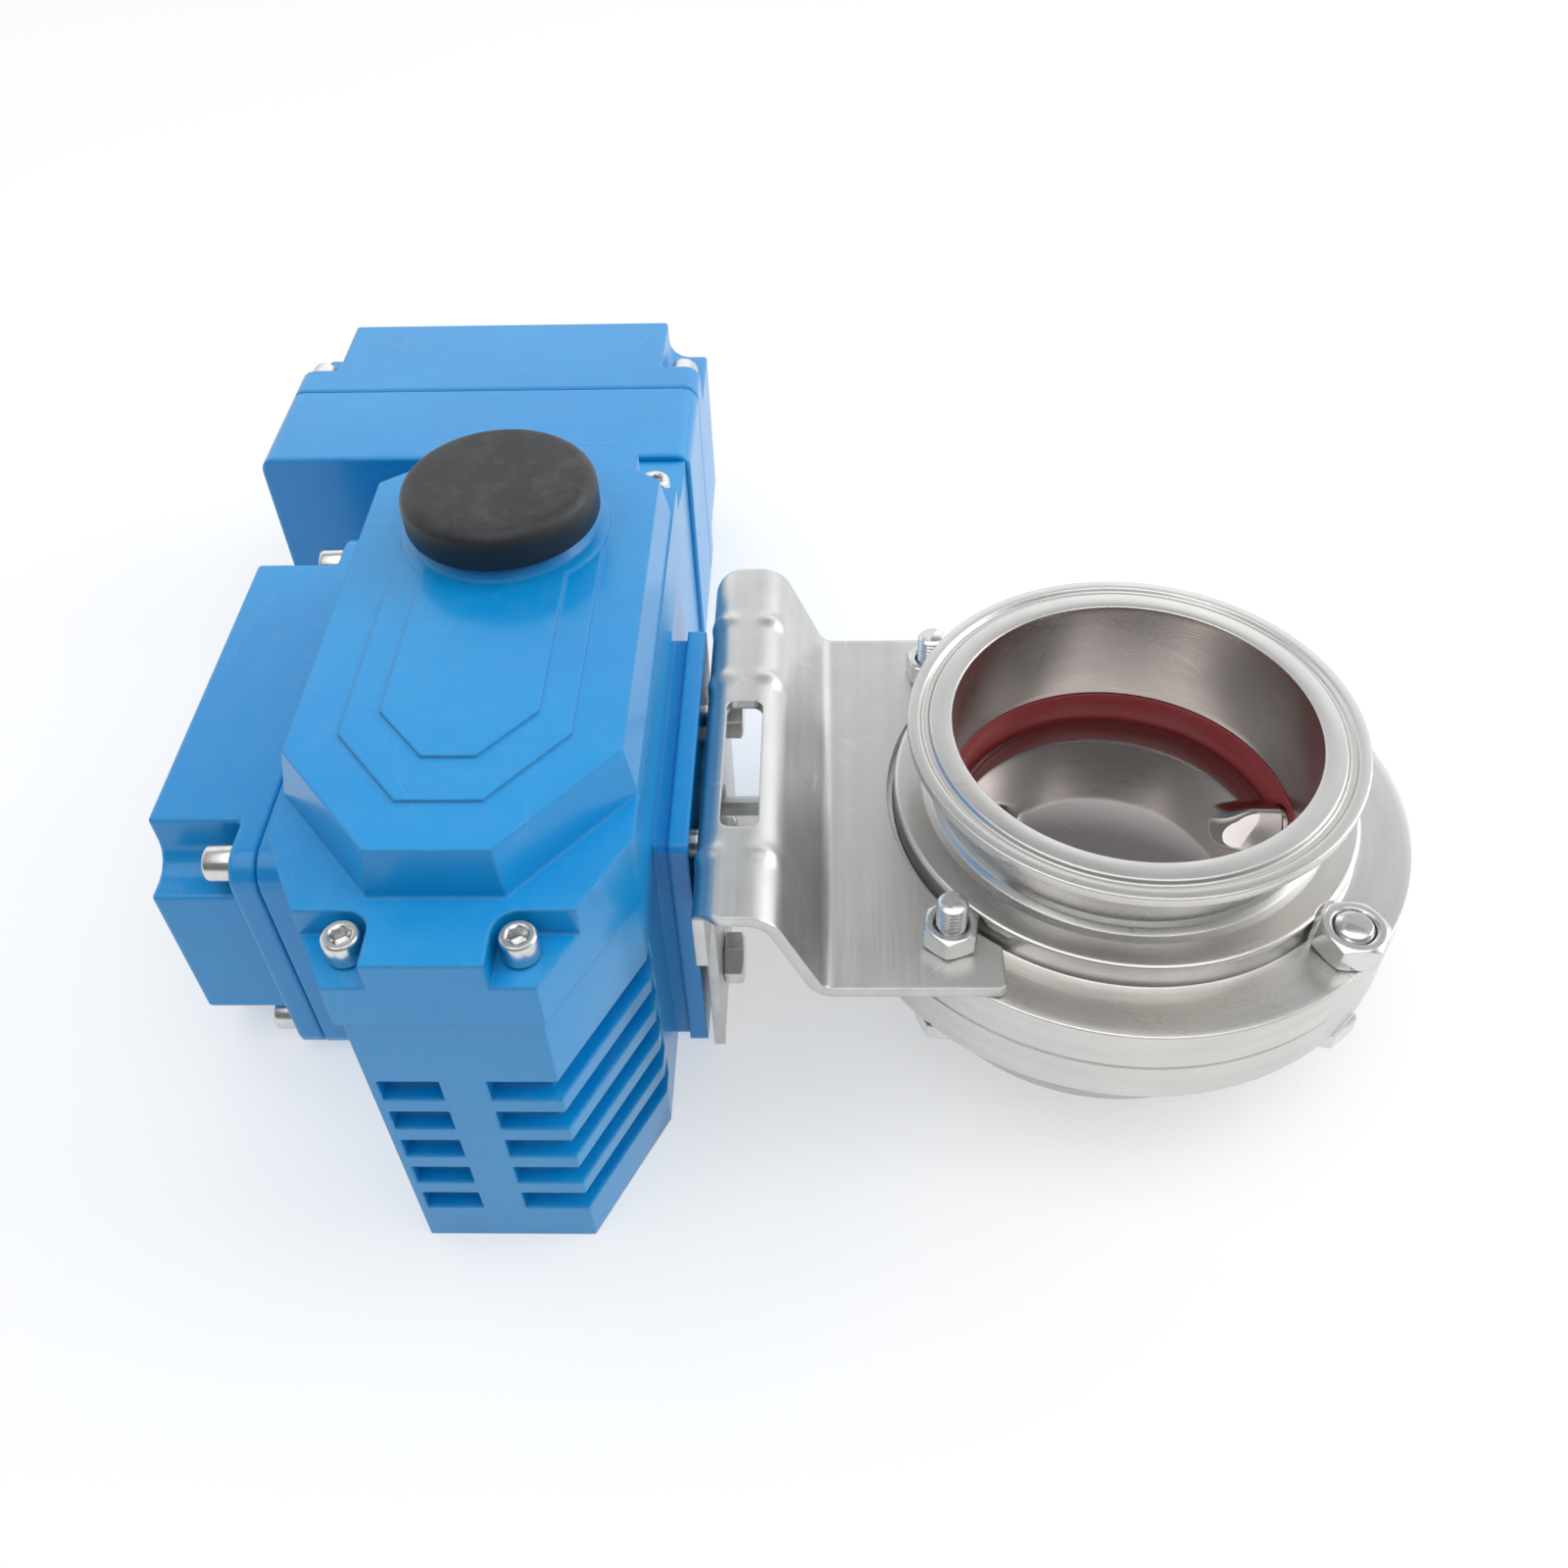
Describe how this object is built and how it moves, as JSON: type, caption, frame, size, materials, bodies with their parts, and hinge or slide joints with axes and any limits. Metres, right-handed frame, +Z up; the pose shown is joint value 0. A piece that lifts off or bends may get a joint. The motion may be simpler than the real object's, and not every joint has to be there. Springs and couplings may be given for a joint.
{
  "type": "motorised butterfly valve",
  "caption": "Clamp-ended hygienic butterfly valve with a bent sheet bracket and a finned, gear-driven quarter-turn actuator lying beside it.",
  "frame": {"origin": "centre of the bounding box's base; the lower clamp face and the foot of the finned housing stand on the plane z = 0", "axes": "+Z up the valve's pipe axis, +X from the actuator towards the valve along the stem, -Y towards the cooling fins, +Y towards the terminal box"},
  "size_m": [0.3454, 0.338, 0.146],
  "materials": {
    "valve_steel": "fine turned and brushed stainless steel",
    "sheet_steel": "brushed stainless sheet, bent",
    "polished_steel": "mirror-polished stainless steel",
    "fastener": "bright stainless steel",
    "silicone": "dark red silicone, satin",
    "blue_paint": "gloss blue powder coat on cast aluminium",
    "gear_steel": "machined steel, oiled",
    "coupling_steel": "turned stainless steel",
    "bronze": "machined bronze",
    "cap_rubber": "smooth matt black rubber",
    "gasket_rubber": "matt black rubber sheet",
    "gland_plastic": "black moulded nylon",
    "dark_plastic": "moulded plastic",
    "motor_paint": "black enamel",
    "white_plastic": "white moulded plastic",
    "clear_window": "clear moulded window"
  },
  "bodies": {
    "base": {"body_bolt_1": "fastener", "body_bolt_2": "fastener", "body_bolt_3": "fastener", "body_bolt_4": "fastener", "body_nut_1": "fastener", "body_nut_2": "fastener", "body_nut_3": "fastener", "body_nut_4": "fastener", "bracket": "sheet_steel", "bracket_bolt_1": "fastener", "bracket_bolt_2": "fastener", "bracket_bolt_3": "fastener", "bracket_bolt_4": "fastener", "bushing_cam": "bronze", "bushing_drive": "bronze", "cable_gland_1": "gland_plastic", "cable_gland_2": "gland_plastic", "case_screw_1": "fastener", "case_screw_2": "fastener", "case_screw_3": "fastener", "case_screw_4": "fastener", "cover_gasket": "gasket_rubber", "cover_screw_1": "fastener", "cover_screw_2": "fastener", "cover_screw_3": "fastener", "cover_screw_4": "fastener", "electrical_cover": "blue_paint", "gear_cover": "blue_paint", "gear_housing": "blue_paint", "idler_pin": "gear_steel", "limit_switch_1": "dark_plastic", "limit_switch_2": "dark_plastic", "lower_body": "valve_steel", "motor": "motor_paint", "seat_ring": "silicone", "stem_bushing_drive": "bronze", "stem_bushing_foot": "bronze", "terminal_block": "dark_plastic", "terminal_box": "blue_paint", "terminal_cover": "blue_paint", "terminal_screw_1": "fastener", "terminal_screw_2": "fastener", "terminal_screw_3": "fastener", "terminal_screw_4": "fastener", "upper_body": "valve_steel", "window": "clear_window"},
    "drive_line": {"disc": "polished_steel", "coupling": "coupling_steel", "output_shaft": "gear_steel", "worm_wheel": "bronze", "switch_cam": "white_plastic", "pointer": "white_plastic"},
    "worm_set": {"worm_shaft": "gear_steel", "worm_gear": "gear_steel"},
    "idler": {"idler_gear": "gear_steel"},
    "pinion": {"motor_pinion": "gear_steel"},
    "cap": {"override_cap": "cap_rubber"}
  },
  "joints": [
    {"name": "valve_turn", "type": "hinge", "parent": "base", "child": "drive_line", "pos_m": [0.09525, -0.06745, 0.0435], "axis": [1, 0, 0], "range_deg": [0, 90]},
    {"name": "worm_turn", "type": "hinge", "parent": "base", "child": "worm_set", "pos_m": [-0.06755, -0.03905, 0.0435], "axis": [0, 0, -1], "range_deg": [0, 2430]},
    {"name": "idler_turn", "type": "hinge", "parent": "base", "child": "idler", "pos_m": [-0.06755, -0.09305, 0.1025], "axis": [0, 0, 1], "range_deg": [0, 3037.5]},
    {"name": "pinion_turn", "type": "hinge", "parent": "base", "child": "pinion", "pos_m": [-0.06755, -0.12605, 0.1025], "axis": [0, 0, -1], "range_deg": [0, 8100]},
    {"name": "cap_pull", "type": "slide", "parent": "base", "child": "cap", "axis": [0, 0, 1], "range_m": [0, 0.03]}
  ],
  "couplings": [
    {"joint": "worm_turn", "follows": "valve_turn", "ratio": 27},
    {"joint": "idler_turn", "follows": "valve_turn", "ratio": 33.75},
    {"joint": "pinion_turn", "follows": "valve_turn", "ratio": 90}
  ]
}
